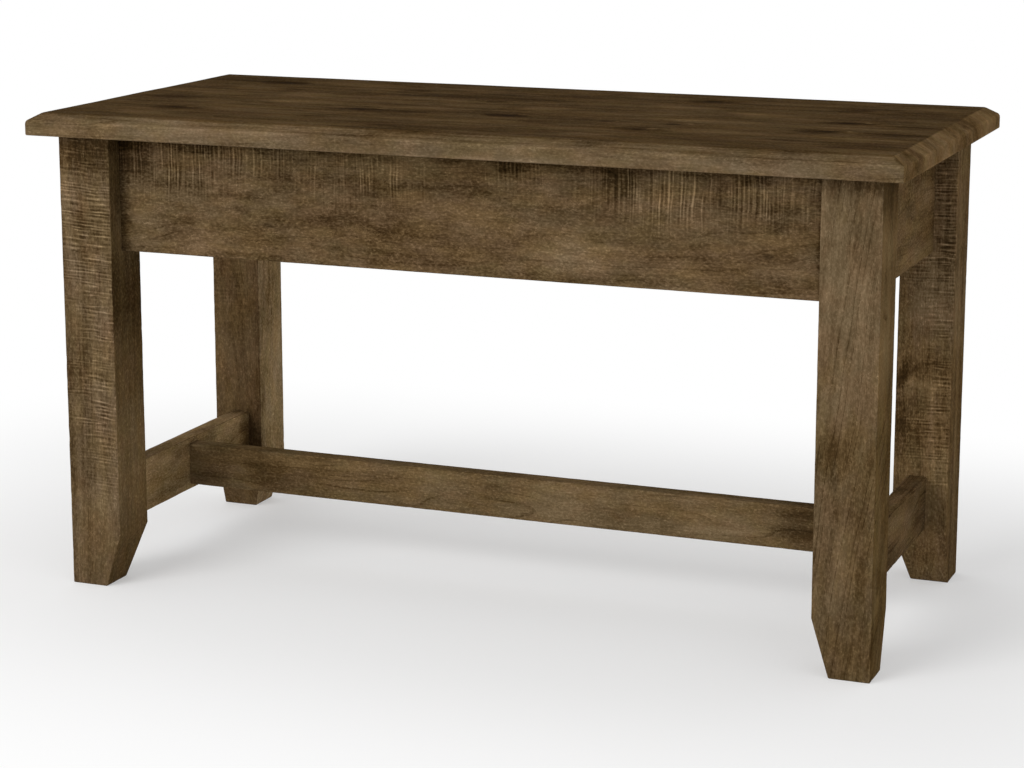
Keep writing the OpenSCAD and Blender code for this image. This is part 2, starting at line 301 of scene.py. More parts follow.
def round_knots(f, wood, bent, across, knots):
    """Parts the fibres round each knot, which is given by its place on the face, its size in mm and how
    dark it is. Returns the parted wood and the darkness."""
    darkness = None
    for along, sideways, size, depth in knots:
        place = (along, 0, sideways) if across == "up" else (along, sideways, 0)
        flat = (1, 0, 1) if across == "up" else (1, 1, 0)
        away = f.vector("MULTIPLY", f.vector("SUBTRACT", wood, place), flat)
        in_sizes = f.vector("MULTIPLY", away, (KNOT_STRETCH / size, 1 / size, 1 / size))
        reach = f.vector("LENGTH", in_sizes, output=1)
        push = f.math("POWER", math.e, f.times(f.times(reach, reach), KNOT_PARTING))
        bent = f.vector("SUBTRACT", bent, f.lay("VectorMath", {0: away, 3: push}, operation="SCALE"))
        dark = f.times(f.math("SUBTRACT", 1.0, f.above(reach, KNOT_CORE, KNOT_RIM)), depth)
        darkness = dark if darkness is None else f.plus(darkness, dark)
    return bent, darkness


def spots(f, along, across, places):
    """Soft oval spots on a face. Each has its middle and its reach, along and across the grain, in mm,
    and its strength."""
    total = None
    for at_along, at_across, reach_along, reach_across, strength in places:
        from_middle = f.lay("CombineXYZ", {
            0: f.times(f.plus(along, -at_along), 1 / reach_along),
            1: f.times(f.plus(across, -at_across), 1 / reach_across),
        })
        outside = f.above(f.vector("LENGTH", from_middle, output=1), SPOT_CORE, SPOT_RIM)
        spot = f.times(f.math("SUBTRACT", 1.0, outside), strength)
        total = spot if total is None else f.plus(total, spot)
    return total


# What the band saw left, in mm and in shares of the tick's strength: cuts that wander, teeth at even gaps
# and fine scratches between them, with ragged ends
CUT_WANDER = 5.0
TOOTH_GAP = 4.0
TOOTH_DRIFT = 3.0
TOOTH_SHARE = 0.36
SCRATCH_W = 2.0
SCRATCH_SHARE = 0.75
RAGGED_W = 3.4
RAGGED_REACH = 46.0


def saw_marks(f, tree, along, across, sawn, leaning, tick_w):
    """Fine ticks that the band saw left across the grain, about tick_w mm long, in patches with ragged
    ends. Returns how strongly the marks show and the ticks, which swing round 0.5."""
    wobble = f.swing(f.cloud(tree, (50, 40, 40), 2.0), CUT_WANDER)
    cut = f.plus(along, f.times(across, leaning), wobble)
    on_cut = f.lay("CombineXYZ", {0: cut, 1: across, 2: 70.0})
    tooth = f.plus(f.times(cut, 1 / TOOTH_GAP), f.times(f.lines(cut, 24, 1.0), TOOTH_DRIFT))
    tooth = f.times(f.math("ABSOLUTE", f.math("SUBTRACT", f.math("FRACT", tooth), 0.5)), 2.0)
    shown = f.above(f.cloud(on_cut, (8, tick_w, 1), 1.0), 0.34, 0.56)
    tooth = f.times(f.math("SUBTRACT", tooth, 0.5), shown)
    scratch = f.swing(f.cloud(on_cut, (SCRATCH_W, tick_w, 1), 2.0, 0.5), SCRATCH_SHARE)
    ticks = f.plus(scratch, f.times(tooth, TOOTH_SHARE), 0.5)
    ends = f.lines(f.plus(cut, 900.0), RAGGED_W, 2.0, 0.7)
    ragged = f.plus(across, f.swing(ends, RAGGED_REACH))
    broken = f.above(f.cloud(tree, (8, 20, 20), 2.0, 0.5), 0.3, 0.56)
    return f.times(spots(f, along, ragged, sawn), broken), ticks


# What the stain shows, by its size in mm along the grain and across it both ways: wide and small clouds,
# long streaks, the fibres, specks, silvery curls in patches, open pores and pale dots
BLOTCH = (92, 46, 46)
MOTTLE = (26, 11, 11)
STREAK_LEN = 130
FIBRE = (20, 1.1, 1.1)
SPECK = (3.6, 2.1, 2.1)
CURL = (6, 4.2, 4.2)
CURL_PATCH = (13, 9, 9)
PORE = (7.5, 1.5, 1.5)
DOT = (3.0, 1.8, 1.8)
# The tone of plain stained wood, and how far each of these and each growth ring moves it
PLAIN_TONE = 0.47
GROWTH_TONE = 0.3
LATE_TONE = -0.2
BLOTCH_TONE = 0.8
MOTTLE_TONE = 0.36
STREAK_TONE = 0.34
FIBRE_TONE = 0.3
SPECK_TONE = 0.5
FLECK_TONE = 0.19
PORE_TONE = -0.05
DOT_TONE = 0.12
TICK_TONE = 1.2
# How much stronger the light fibres and ticks are than the dark ones
LIGHT_FIBRES = 0.3
LIGHT_TICKS = 0.4
# What each tone makes of the stain's colour: thick stain is browner and thin stain greyer
TONES = [
    (0.0, (0.13, 0.11, 0.08, 1)),
    (0.28, (0.46, 0.42, 0.35, 1)),
    (0.5, (1.0, 1.0, 1.0, 1)),
    (0.72, (1.53, 1.58, 1.7, 1)),
    (1.0, (2.7, 2.85, 3.2, 1)),
]
# How the wood under the stain changes it, from the least red to the reddest and from the least grey to
# the greyest, and how a rubbed arris lightens it
LEAST_RED = (0.968, 1.0, 1.0, 1)
MOST_RED = (1.036, 1.0, 0.985, 1)
LEAST_GREY = (1.005, 1.0, 0.905, 1)
MOST_GREY = (0.995, 1.0, 1.04, 1)
RUBBED = (1.8, 1.8, 1.8, 1)
# How far the outlines of spots wander, in mm, and how deep the open grain is
SPOT_WANDER = 32.0
GRAIN_DEPTH = 0.4 * MM
# How far apart in the tree, in mm, the boards of two seeds are taken, and how much older its rings are
BOARD_SHIFT = (613, 271, 389)
RING_SHIFT = 41.0


def stained_wood(
    name, grain, middle, pith, seed, body, faces=(), across="up", lean=(0.02, 0.03), ring_gap=3.6, drift=26,
    knots=(), stains_and_shade=(), side_stains_and_shade=(), arcs=0.0, reds=(), greys=(),
    sawn=(), sawn_face=(0, 1, 0), lines_tone=0.0, leaning=0.03, tick_w=24,
    contrast=1.0, clouds=1.0, mottling=0.5, streaks=1.0, streak_w=10, specks=1.0, rings=1.0, bands=1.0,
    edge_calm=1.0, ragged=0.0, rubbing=0.3, worn_tone=0.0, gloss=0.002
):
    """Stained solid wood. The pith is where the rings' middle lies from the middle of the board, in mm
    along the two directions across the grain, and lean is how far it moves per mm along the grain. Faces
    lists directions in which the surface took the stain in another colour, or is given a lighter or
    darker colour as painted light or painted shade, and ragged is how unevenly these meet. Stains, reds
    and greys are spots that are lighter or darker, redder and greyer than the rest, placed along the
    grain and across it, up or right; some of the darker spots are painted shade. Side spots, some of them
    painted shade too, and arcs, which are cut rings, show only on the sides that look along X, and
    edge_calm evens out all but the top. Sawn lists the places with saw marks, on the sides that look
    along sawn_face. The shares from contrast to bands say how strongly each mark of the stain shows."""
    f = Finish(name)
    turn = Matrix.Rotation(GRAIN_TURN[grain][2], 3, "Z") @ Matrix.Rotation(GRAIN_TURN[grain][1], 3, "Y")
    here = turn @ Vector(middle) * -1000
    place = f.lay("TexCoord", {}, "Object")
    mapping = {"Vector": place, "Location": here, "Rotation": GRAIN_TURN[grain], "Scale": (1000,) * 3}
    wood = f.lay("Mapping", mapping)
    tree = f.vector("ADD", wood, [seed * shift for shift in BOARD_SHIFT])
    normal = f.lay("NewGeometry", {}, "Normal")

    def apart(*shift):
        """The tree some way off, for marks that don't follow the others."""
        return f.vector("ADD", tree, shift)

    # The fibres wander a little, and round a knot they part
    wander = f.vector("SUBTRACT", f.cloud(tree, (240, 75, 75), 2.0, 0.5, 1), (0.5, 0.5, 0.5))
    bent = f.vector("ADD", wood, f.vector("MULTIPLY", wander, (0, drift, drift)))
    bent, knot_dark = round_knots(f, wood, bent, across, knots)

    # Growth rings round the pith, in uneven groups, each with a thin dark late edge
    along, right, up = f.split(bent)
    from_right = f.plus(f.times(along, -lean[0]), right, -pith[0])
    from_up = f.plus(f.times(along, -lean[1]), up, -pith[1])
    radius = f.vector("LENGTH", f.lay("CombineXYZ", {1: from_right, 2: from_up}), output=1)
    radius = f.plus(radius, seed * RING_SHIFT)
    growth = f.lines(radius, 9, 3.0, 0.6)
    uneven = f.plus(f.times(radius, 1 / ring_gap), f.times(f.lines(radius, 16, 1.0), 2.6))
    late = f.above(f.math("FRACT", uneven), 0.8, 0.97)
    late = f.times(late, f.above(f.cloud(tree, (90, 14, 14), 2.0), 0.42, 0.58))

    # Stain lies unevenly on the wood: in clouds, in streaks along the grain, in the fibres and in flecks
    blotch = f.cloud(tree, BLOTCH, 2.0, 0.5)
    mottle = f.cloud(apart(17, 230, 80), MOTTLE, 1.0, 0.5)
    streak = f.cloud(tree, (STREAK_LEN, streak_w, streak_w), 3.0, 0.55)
    fibre = f.cloud(bent, FIBRE, 2.0, 0.6)
    speck = f.cloud(tree, SPECK, 1.0, 0.7)
    curl = f.math("ABSOLUTE", f.math("SUBTRACT", f.cloud(apart(5, 9, 60), CURL, 1.0), 0.5))
    flecks = f.math("SUBTRACT", 1.0, f.above(curl, 0.0, 0.03))
    flecks = f.times(flecks, f.above(f.cloud(tree, CURL_PATCH, 2.0), 0.5, 0.62))
    pores = f.above(f.cloud(apart(91, 17, 53), PORE, 1.0), 0.62, 0.72)
    dots = f.above(f.cloud(apart(11, 60, 37), DOT, 1.0), 0.58, 0.72)
    fine = f.plus(f.swing(fibre, FIBRE_TONE * contrast), f.swing(speck, SPECK_TONE * contrast * specks))
    tone = f.plus(
        PLAIN_TONE,
        f.swing(growth, GROWTH_TONE * contrast * bands),
        f.swing(blotch, BLOTCH_TONE * contrast * clouds),
        f.swing(mottle, MOTTLE_TONE * contrast * mottling),
        f.swing(streak, STREAK_TONE * contrast * streaks),
        f.lean_light(fine, LIGHT_FIBRES),
        f.times(late, LATE_TONE * contrast * rings),
        f.times(flecks, FLECK_TONE * contrast * specks),
        f.times(pores, PORE_TONE * contrast),
        f.times(dots, DOT_TONE * contrast * specks),
    )
    height = f.plus(f.times(fibre, 0.5), f.times(late, -0.25), f.times(pores, -0.5), f.times(speck, 0.35))

    # Spots of stain and of painted shade have uneven outlines
    flat_right, flat_up = f.split(wood)[1:]
    over = flat_up if across == "up" else flat_right
    outline = f.swing(f.cloud(tree, (34, 18, 18), 3.0, 0.6), SPOT_WANDER)
    spot_along = f.plus(along, outline)
    spot_over = f.plus(over, outline)
    # Lighter and darker spots of stain, some of them painted shade
    if stains_and_shade:
        tone = f.plus(tone, spots(f, spot_along, spot_over, stains_and_shade))
    worn = f.lay("Attribute", {}, "Fac", attribute_name="wear")
    tone = f.plus(tone, f.times(worn, worn_tone))
    if edge_calm < 1:
        on_top = f.above(f.vector("DOT_PRODUCT", normal, (0, 0, 1), 1), 0.88, 0.985)
        calm = f.plus(edge_calm, f.times(on_top, 1 - edge_calm))
        tone = f.plus(0.5, f.times(f.math("SUBTRACT", tone, 0.5), calm))
    # Spots on the sides that look along X, partly stain and partly painted shade, and cut rings
    if side_stains_and_shade:
        on_side = f.facing(normal, (1, 0, 0), 0.2, 0.45)
        patches = spots(f, spot_along, f.plus(flat_right, outline), side_stains_and_shade)
        rings_cut = f.swing(f.lines(f.plus(radius, outline), 7, 1.0, 0.5), arcs)
        tone = f.plus(tone, f.times(on_side, f.plus(rings_cut, patches)))
    if sawn:
        marks, ticks = saw_marks(f, tree, along, over, sawn, leaning, tick_w)
        on_face = f.facing(normal, sawn_face, 0.5, 0.9)
        marks = f.times(marks, f.plus(0.06, f.times(on_face, 0.94)))
        light = f.lean_light(f.swing(ticks, TICK_TONE), LIGHT_TICKS)
        tone = f.plus(tone, f.times(marks, f.plus(light, lines_tone - 0.04)))
        height = f.plus(height, f.times(marks, f.swing(ticks, 4.0)))

    # The colour of the stain on each face, and the painted light or shade given to some faces, moved by
    # the tone, the redder and greyer wood and the wear
    stain = colour(body)
    thin = f.swing(f.cloud(tree, (110, 4, 4), 2.0, 0.6), ragged)
    for direction, low, high, code in faces:
        towards = f.plus(f.vector("DOT_PRODUCT", normal, direction, 1), thin)
        stain = f.blend(f.above(towards, low, high), stain, colour(code))
    stain = f.tint(stain, f.shades(tone, TONES))
    for shift, size, places, least, most in (
        ((40, 7, 210), (40, 20, 20), reds, LEAST_RED, MOST_RED),
        ((300, 70, 10), (46, 20, 20), greys, LEAST_GREY, MOST_GREY),
    ):
        much = f.cloud(apart(*shift), size, 3.0, 0.6)
        if places:
            much = f.plus(much, spots(f, spot_along, spot_over, places))
        stain = f.tint(stain, f.blend(f.above(much, 0.34, 0.66), least, most))
    if knot_dark is not None:
        stain = f.blend(knot_dark, stain, colour(KNOT_BROWN))
    rubbed = f.above(f.plus(worn, f.swing(speck, 0.6), f.swing(fibre, 0.8)), 0.45, 1.1)
    stain = f.blend(f.times(rubbed, rubbing), stain, f.tint(stain, RUBBED))

    rough = f.plus(0.8, f.swing(blotch, 0.3), f.swing(fibre, 0.25), f.times(rubbed, -0.08))
    bump = f.lay("Bump", {"Strength": 0.6, "Distance": GRAIN_DEPTH, "Height": height})
    f.coat(stain, rough, bump)
    f.shader.inputs["Specular IOR Level"].default_value = gloss
    return f.material


# Where each leg shows saw marks (sawn), lighter and darker stain, painted shade, and redder and greyer
# wood. Each spot says how far above the middle of the leg's height and to the left of the middle of its
# face it lies, its reach both ways, in mm, and its strength. On the spots for the sides the second number
# runs to the back.
LEGS = {
    "leg_front_left": dict(
        pith=(30, -40), seed=1, body="#5e4c36", clouds=0.45, mottling=0.2, streaks=0.8, rings=0.4,
        lines_tone=0.04, leaning=-0.05,
        reds=[(150, -20, 80, 14, -0.25), (-60, 20, 70, 14, -0.2)],
        faces=[((1, 0, 0), 0.7, 0.9, "#5d4a30")],
        sawn=[
            (175, 0, 60, 60, 0.85), (112, -4, 50, 40, 0.85), (40, -14, 60, 26, 0.85), (-30, 4, 40, 30, 0.6),
            (-80, -12, 60, 24, 0.8),
        ],
        # The band across the top of the face, 218 mm up, is painted shade under the seat, and the band
        # across the foot, 212 mm down, is painted shade on the foot.
        stains_and_shade=[
            (218, 0, 24, 60, -0.18), (175, 21, 18, 12, 0.06), (142, -3, 8, 14, -0.07),
            (87, 0, 14, 18, 0.05), (48, -20, 34, 9, 0.09), (0, 15, 30, 16, -0.12), (-15, -15, 9, 8, -0.07),
            (-100, 19, 34, 9, -0.08), (-130, -10, 45, 12, 0.06), (-212, 0, 24, 60, -0.05),
            (200, 0, 22, 60, -0.05), (165, 14, 18, 14, -0.04), (-95, -14, 60, 14, 0.07),
            (130, 20, 95, 10, -0.04), (-150, 0, 30, 12, 0.06), (-98, -10, 28, 18, 0.03),
            (0, 0, 24, 10, -0.03),
        ],
        # On the sides these bands are partly uneven stain and partly painted shade from the seat and apron:
        # darker over the upper part and lighter towards the foot.
        side_stains_and_shade=[
            (207, 0, 14, 60, 0.14), (167, 0, 15, 60, -0.08), (127, 0, 13, 60, 0.08), (67, 0, 42, 60, -0.21),
            (-105, 0, 64, 60, 0.21), (84, 12, 26, 18, 0.06), (-100, -14, 34, 14, -0.04),
            (-150, 14, 26, 14, 0.05),
        ],
    ),
    "leg_front_right": dict(
        pith=(-30, 96), seed=2, body="#614f37", lean=(0.03, -0.14), ring_gap=7.0, contrast=0.85,
        clouds=0.45, bands=1.1,
        reds=[(170, 18, 60, 14, -0.15), (-40, 0, 120, 12, 0.12)],
        greys=[(140, 0, 110, 60, 0.25), (-20, 0, 40, 60, -0.1), (-90, 18, 60, 14, 0.25)],
        faces=[((1, 0, 0), 0.7, 0.9, "#614d30")],
        # The band across the top of the face, 229 mm up, is painted shade under the seat.
        stains_and_shade=[
            (180, 18, 34, 10, 0.08), (120, 4, 50, 22, 0.05), (164, -16, 20, 9, -0.06),
            (-20, 13, 26, 15, -0.12), (-78, -8, 14, 20, -0.09), (-140, -20, 40, 8, -0.13),
            (-128, 0, 30, 8, 0.04), (-195, 0, 30, 60, -0.05), (229, 0, 9, 60, -0.14),
            (130, 0, 90, 60, 0.04), (-22, 0, 26, 60, -0.05), (-180, -16, 26, 12, -0.04),
            (125, 4, 50, 16, 0.05), (0, 0, 28, 14, -0.04), (-148, -4, 28, 14, -0.03),
        ],
        # On the sides, the band across the top, 215 mm up, is painted shade under the seat's overhang.
        side_stains_and_shade=[
            (215, 0, 18, 60, -0.13), (167, 0, 18, 60, 0.13), (70, 0, 34, 60, 0.06), (-30, 0, 50, 60, -0.05),
            (-30, -16, 60, 16, 0.1), (60, -18, 60, 14, 0.04), (0, 18, 190, 14, -0.04),
        ],
    ),
    "leg_back_left": dict(
        pith=(38, 34), seed=3, body="#58452e", clouds=0.6, rings=0.6,
        # The much lighter colour on the sides that look along X is painted light, making up for the shade
        # under the bench.
        faces=[((1, 0, 0), 0.7, 0.9, "#8f7857")],
        sawn=[(60, 0, 120, 60, 0.2)],
        stains_and_shade=[
            (84, 0, 30, 60, 0.06), (-100, 16, 40, 12, -0.05), (-85, -14, 50, 12, 0.05),
            (-152, -18, 22, 12, -0.09), (78, 12, 11, 7, -0.1), (62, -20, 12, 5, -0.08),
            (10, -4, 36, 12, -0.04),
        ],
    ),
    "leg_back_right": dict(
        pith=(-30, 48), seed=4, body="#6d583d", contrast=1.1, clouds=0.5, rings=0.5, lines_tone=-0.05,
        reds=[(80, -12, 50, 20, -0.15), (-40, 0, 60, 60, 0.1), (10, 20, 30, 10, 0.2)],
        greys=[(80, -10, 60, 30, 0.2), (-30, -12, 70, 24, -0.2), (10, 20, 30, 10, -0.25)],
        faces=[((1, 0, 0), 0.7, 0.9, "#604c32")],
        sawn=[(70, -18, 170, 15, 0.9), (150, 4, 80, 40, 0.6), (-80, -10, 50, 30, 0.6)],
        stains_and_shade=[
            (57, 3, 30, 8, 0.08), (34, -23, 20, 6, 0.09), (0, -9, 12, 10, -0.12), (-28, -2, 10, 24, 0.03),
            (-75, 8, 30, 14, -0.06), (-33, 19, 3, 9, 0.16), (-27, 7, 3, 9, 0.18), (-23, -8, 2.5, 14, 0.16),
            (-6, 16, 16, 12, -0.12), (-62, 20, 14, 8, -0.08), (72, -14, 34, 16, 0.12),
            (60, 12, 24, 12, 0.05), (-4, 14, 16, 14, -0.05), (-82, 12, 18, 14, -0.05),
            (54, -8, 20, 20, 0.1), (20, -8, 18, 20, 0.07), (20, 19, 20, 9, -0.08), (-15, 18, 18, 10, -0.16),
            (-60, 20, 60, 8, -0.07), (54, 4, 20, 18, 0.04), (75, 0, 30, 24, 0.04), (-76, 4, 30, 24, -0.04),
        ],
    ),
}
for node, wood in LEGS.items():
    low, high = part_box(node)
    xs = grid_lines(low.x, high.x, LEG_FACE_STEP, ARRIS_LINES, ARRIS_LINES)
    ys = grid_lines(low.y, high.y, LEG_FACE_STEP, ARRIS_LINES, ARRIS_LINES)
    crease = FOOT_TAPER_H - TAPER_CREASE
    zs = grid_lines(low.z, crease, LEG_STEP, ARRIS_LINES) + [FOOT_TAPER_H]
    zs += grid_lines(FOOT_TAPER_H + TAPER_CREASE, high.z, LEG_STEP)
    flat, quads = closed_grid(xs, ys, zs)
    points, wear = worn_block(flat, low, high, LEG_EDGE_R, wood["seed"] * 10, ["+z"])
    # The foot narrows towards its outer corner
    leg_w = high.x - low.x
    share = np.clip(flat[:, 2] / FOOT_TAPER_H, 0, 1) * (1 - FOOT_W / leg_w) + FOOT_W / leg_w
    outer_x = low.x if low.x < 0 else high.x
    outer_y = low.y if low.y < 0 else high.y
    points[:, 0] = outer_x + (points[:, 0] - outer_x) * share
    points[:, 1] = outer_y + (points[:, 1] - outer_y) * share
    finish = stained_wood("stain_" + node, "z", (low + high) / 2, **wood)
    make_piece(node, points, quads, wear, finish)

# Front and back aprons
# Deep boards of the same wood, 19 mm thick, tenoned into the legs under the seat. The upper part of the
# face still shows the saw, and the lower part is planed smooth.
BOARD_EDGE_R = 1.4 * MM
BOARD_ARRIS_LINES = [0, 0.45 * MM, 1.0 * MM, 1.8 * MM, 4 * MM]
BOARD_STEP = 5 * MM
BOARD_FACE_STEP = 6 * MM


def make_board(node, low, high, grain, seed, finish):
    """A board between two others, with its long arrises eased and its two ends cut square."""
    along = "xyz".index(grain)
    lines = []
    for axis in range(3):
        if axis == along:
            lines.append(grid_lines(low[axis], high[axis], BOARD_STEP))
        else:
            at_arris = BOARD_ARRIS_LINES
            lines.append(grid_lines(low[axis], high[axis], BOARD_FACE_STEP, at_arris, at_arris))
    flat, quads = closed_grid(*lines)
    points, wear = worn_block(flat, low, high, BOARD_EDGE_R, seed * 10, ["-" + grain, "+" + grain])
    make_piece(node, points, quads, wear, finish)


left_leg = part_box("leg_front_left")
right_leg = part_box("leg_front_right")
# A reach that takes in the whole of a face
WHOLE = 9999
# The same lists as for the legs, but places are given to the right of the board's middle and above it
APRONS = {
    "apron_front": dict(
        pith=(64, 4), seed=5, body="#5c4a33", clouds=0.4, mottling=0.75, rings=0.45, specks=1.15,
        knots=[(-197, -23, 3.2, 0.45), (310, -21, 3.4, 0.5)],
        sawn=[
            (-300, 36, 76, 34, 1.1), (-205, 44, 40, 22, 0.8), (-95, 30, 70, 30, 0.8), (62, 46, 30, 18, 0.8),
            (215, 34, 84, 34, 1.1), (320, 36, 44, 30, 0.9),
        ],
        # The band along the top, 54 mm up, is painted shade under the seat, the bands down both ends, 363
        # mm out, are painted shade beside the legs, and the dark spot at the left end, 345 mm out, is
        # partly stain and partly painted shade.
        stains_and_shade=[
            (-345, 38, 20, 22, -0.2), (161, 38, 19, 18, -0.22), (61, 48, 13, 10, -0.13),
            (20, 30, 16, 14, -0.1), (-178, 24, 16, 18, -0.09), (-262, 51, 15, 8, -0.12),
            (-125, -18, 76, 9, -0.1), (-72, -24, 22, 6, -0.05), (114, -34, 54, 20, 0.15),
            (-333, -28, 17, 18, 0.12), (-128, 18, 10, 10, 0.07), (-46, 20, 10, 10, 0.06),
            (92, 28, 9, 13, 0.1), (188, 12, 10, 14, 0.08), (321, 16, 12, 16, -0.1),
            (324, -20, 22, 8, -0.12), (231, -38, 13, 14, 0.08), (-272, -38, 11, 13, 0.07),
            (-160, -40, 11, 12, 0.07), (-235, -36, 60, 12, 0.1), (0, 54, WHOLE, 7, -0.21),
            (-363, 0, 11, WHOLE, -0.2), (363, 0, 5, WHOLE, -0.2), (-20, -30, 60, 10, -0.03),
            (-80, 44, 70, 14, 0.12), (-150, -12, 60, 14, -0.06), (50, -12, 60, 14, -0.06),
            (54, 14, 40, 14, -0.06), (180, 14, 36, 12, -0.07), (100, -44, 30, 10, 0.03),
            (250, -44, 80, 12, 0.05), (-180, 14, 34, 12, -0.04), (-290, -44, 80, 12, 0.03),
            (-300, 38, 60, 16, 0.03),
        ],
        reds=[
            (-40, -24, 110, 30, 0.2), (290, -34, 80, 24, 0.15), (-230, -36, 60, 20, 0.15),
            (-290, 14, 60, 16, -0.1),
        ],
        greys=[
            (-290, 14, 70, 18, 0.2), (20, 46, 90, 12, -0.2), (130, -44, 36, 12, 0.2),
            (190, 14, 60, 12, 0.1), (-72, 44, 70, 14, -0.15), (-140, 4, 60, 20, 0.12),
        ],
    ),
    "apron_back": dict(
        pith=(-70, -12), seed=6, body="#604d35", clouds=0.7, rings=0.5,
        sawn=[(-250, 34, 90, 28, 0.9), (-40, 42, 60, 18, 0.6), (180, 32, 110, 28, 1.0)],
    ),
}
for node, wood in APRONS.items():
    low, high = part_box(node)
    low.x = left_leg[1].x
    high.x = right_leg[0].x
    finish = stained_wood(
        "stain_" + node, "x", (low + high) / 2, lean=(0.006, 0.03), ring_gap=4.6, lines_tone=0.03,
        leaning=0.0, tick_w=60, **wood
    )
    make_board(node, low, high, "x", wood["seed"], finish)

# End aprons
# The same boards across the two ends, tenoned into the legs a little further behind their faces. A few
# saw marks are left on them, close under the seat.
back_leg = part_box("leg_back_left")
# Places on the end boards are given behind the board's middle and above it
END_APRONS = {
    "apron_left": dict(
        pith=(70, 6), seed=7, body="#604d35", sawn=[(-60, 34, 60, 28, 0.8), (70, 38, 50, 22, 0.7)]
    ),
    "apron_right": dict(pith=(-66, -8), seed=8, body="#675237", sawn=[(40, 34, 80, 28, 0.8)]),
}
for node, wood in END_APRONS.items():
    low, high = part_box(node)
    low.y = left_leg[1].y
    high.y = back_leg[0].y
    finish = stained_wood(
        "stain_" + node, "y", (low + high) / 2, sawn_face=(1, 0, 0), tick_w=60, clouds=0.7, rings=0.6,
        **wood
    )
    make_board(node, low, high, "y", wood["seed"], finish)

# End stretchers
# A narrow board of the same wood between the two legs of each end, tenoned into them just above the
# taper of the feet. It carries the long stretcher in the middle of its inner face.
END_STRETCHERS = {
    "end_stretcher_left": dict(
        pith=(90, 20), seed=9, body="#5b4830", rings=0.5, lean=(0.01, 0.03),
        # The much lighter colour on the inner side is painted light, making up for the shade between the
        # legs; the top is given a lighter colour too.
        faces=[((1, 0, 0), 0.7, 0.9, "#88714f"), ((0, 0, 1), 0.7, 0.9, "#786245")],
        # The dark band at the back end, 122 mm along, is painted shade beside the back leg.
        stains_and_shade=[
            (-114, 0, 14, 60, 0.08), (-40, 0, 60, 60, -0.02), (-92, 0, 36, 60, 0.08), (70, 0, 36, 60, 0.05),
            (122, 0, 15, 60, -0.24),
        ],
    ),
    "end_stretcher_right": dict(pith=(-44, 14), seed=10, body="#5b4830"),
}
for node, wood in END_STRETCHERS.items():
    low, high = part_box(node)
    low.y = left_leg[1].y
    high.y = back_leg[0].y
    finish = stained_wood("stain_" + node, "y", (low + high) / 2, **wood)
    make_board(node, low, high, "y", wood["seed"], finish)

# Long stretcher
# One board from end stretcher to end stretcher, tenoned into the middle of each, that ties the two ends
# together.
low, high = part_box("long_stretcher")
low.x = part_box("end_stretcher_left")[1].x
high.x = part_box("end_stretcher_right")[0].x
finish = stained_wood(
    "stain_long_stretcher", "x", (low + high) / 2, (42, -16), 11, "#68553b", lean=(0.01, 0.05), clouds=0.35,
    rings=0.7, contrast=0.9,
    stains_and_shade=[
        (-280, 0, 25, 30, -0.1), (-322, -6, 14, 16, 0.05), (-88, 4, 30, 22, 0.06), (-24, 4, 18, 9, -0.06),
        (38, 0, 34, 26, 0.1), (140, 2, 16, 22, 0.08), (222, 0, 46, 26, 0.08), (310, 0, 28, 30, -0.16),
        (-310, 12, 50, 12, -0.06), (-225, 0, 34, 22, -0.07), (110, -14, 140, 9, 0.03),
        (-345, 0, 22, 30, -0.05), (-268, 0, 40, 30, -0.04),
    ],
    reds=[(-260, 8, 100, 16, 0.2), (120, -14, 140, 10, -0.15)],
    greys=[(-280, 12, 90, 12, -0.2), (110, -14, 150, 10, 0.2)],
)
make_board("long_stretcher", low, high, "x", 11, finish)

# Corner blocks and cross rail
# Blocks glued and screwed across the corners, and a flat rail housed in the long aprons. They are bare
# planed hardwood, because nobody sees them.
PLANED_DEPTH = 0.3 * MM
PLANED_GLOSS = 0.3


def bare_wood(name, turn, seed):
    """Planed hardwood with no stain."""
    f = Finish(name)
    place = f.lay("TexCoord", {}, "Object")
    apart = (seed * 500, seed * 90, 0)
    mapping = {"Vector": place, "Location": apart, "Rotation": turn, "Scale": (1000,) * 3}
    wood = f.lay("Mapping", mapping)
    along, right = f.split(wood)[:2]
    bent = f.plus(right, f.times(along, 0.04), f.swing(f.cloud(wood, (120, 40, 40)), 18.0))
    rings = f.lines(bent, 4.5, 3.0, 0.6)
    fibre = f.cloud(wood, (30, 0.7, 0.7), 2.0, 0.6)
    blotch = f.cloud(wood, (70, 30, 30), 2.0)
    tone = f.plus(0.5, f.swing(rings, 0.9), f.swing(fibre, 0.7), f.swing(blotch, 0.5))
    shade = f.shades(tone, [(0.1, colour("#8a6a45")), (0.5, colour("#b6976d")), (0.9, colour("#d9c09a"))])
    rough = f.plus(0.62, f.swing(fibre, 0.3))
    height = f.plus(fibre, f.times(rings, 0.5))
    bump = f.lay("Bump", {"Strength": 0.5, "Distance": PLANED_DEPTH, "Height": height})
    f.coat(shade, rough, bump)
    f.shader.inputs["Specular IOR Level"].default_value = PLANED_GLOSS
    return f.material


# How far the grain of each is turned from the seat's length, in degrees
INNER_WOOD = {
    "corner_block_front_left": 45,
    "corner_block_front_right": -45,
    "corner_block_back_left": -45,
    "corner_block_back_right": 45,
    "cross_rail": 90,
}
for seed, (node, degrees) in enumerate(INNER_WOOD.items()):
    finish = bare_wood("bare_" + node, (0, 0, math.radians(degrees)), seed)
    for material_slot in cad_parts[node].material_slots:
        material_slot.material = finish

